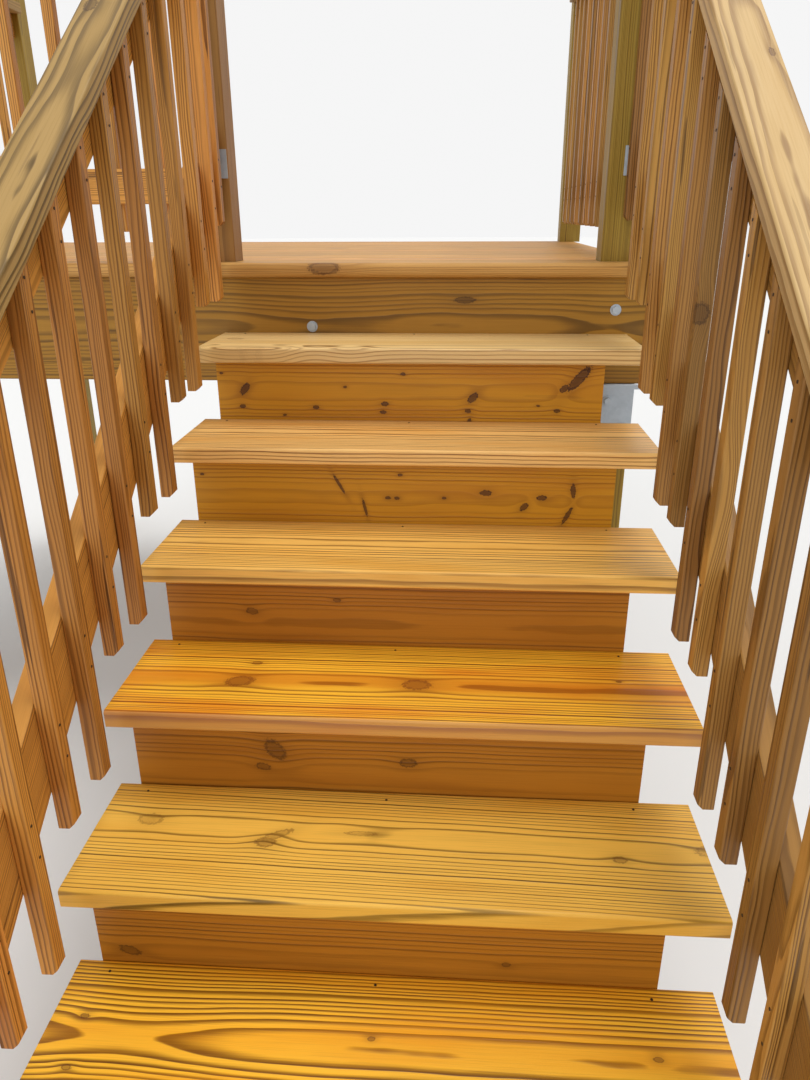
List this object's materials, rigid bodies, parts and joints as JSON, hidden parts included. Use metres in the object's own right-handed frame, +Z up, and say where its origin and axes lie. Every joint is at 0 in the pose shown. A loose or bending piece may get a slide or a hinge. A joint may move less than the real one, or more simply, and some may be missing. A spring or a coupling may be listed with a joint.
{
  "type": "wooden deck stairs",
  "caption": "Straight wooden stairs with notched stringers, closed risers and sloping guards of square balusters, rising to a small guarded deck on posts.",
  "frame": {"origin": "middle of the centre stringer's level foot, on the ground", "axes": "+Z up, +Y up the flight towards the house, +X to the right seen from the foot of the flight"},
  "size_m": [2.5195, 3.527, 2.5357],
  "materials": {
    "treads": "stained and oiled softwood with strong dark grain, satin",
    "risers": "stained softwood with small dark knots, satin",
    "stringers": "stained softwood, satin",
    "posts": "pressure-treated softwood, greenish tan, matt",
    "caps": "sun-bleached softwood with open grain, matt",
    "rails": "stained softwood, satin",
    "balusters": "stained softwood, reddish brown, satin",
    "rim_boards": "pressure-treated softwood, olive brown, satin",
    "deck_boards": "stained softwood boards, satin",
    "galvanised_steel": "hot-dip galvanised, dull"
  },
  "bodies": {
    "root": {"tread_1": "treads", "riser_1": "risers", "tread_2": "treads", "riser_2": "risers", "tread_3": "treads", "riser_3": "risers", "tread_4": "treads", "riser_4": "risers", "tread_5": "treads", "riser_5": "risers", "tread_6": "treads", "riser_6": "risers", "tread_7": "treads", "riser_7": "risers", "stringer_left": "stringers", "stringer_middle": "stringers", "stringer_right": "stringers", "newel_post_left": "posts", "stair_cap_left": "caps", "stair_top_rail_left": "rails", "stair_bottom_rail_left": "rails", "stair_balusters_left": "balusters", "newel_post_right": "posts", "stair_cap_right": "caps", "stair_top_rail_right": "rails", "stair_bottom_rail_right": "rails", "stair_balusters_right": "balusters", "deck_post_left": "posts", "deck_post_right": "posts", "deck_post_corner": "posts", "wall_post_left": "posts", "wall_post_right": "posts", "deck_cap_front": "caps", "deck_rails_front": "rails", "deck_balusters_front": "balusters", "deck_cap_left": "caps", "deck_rails_left": "rails", "deck_balusters_left": "balusters", "deck_cap_right": "caps", "deck_rails_right": "rails", "deck_balusters_right": "balusters", "front_rim": "rim_boards", "side_rim_left": "rim_boards", "side_rim_right": "rim_boards", "ledger": "rim_boards", "joists": "rim_boards", "deck_boards": "deck_boards", "support_posts": "posts", "post_caps": "galvanised_steel", "rail_brackets": "galvanised_steel", "lag_bolts": "galvanised_steel"}
  },
  "joints": []
}
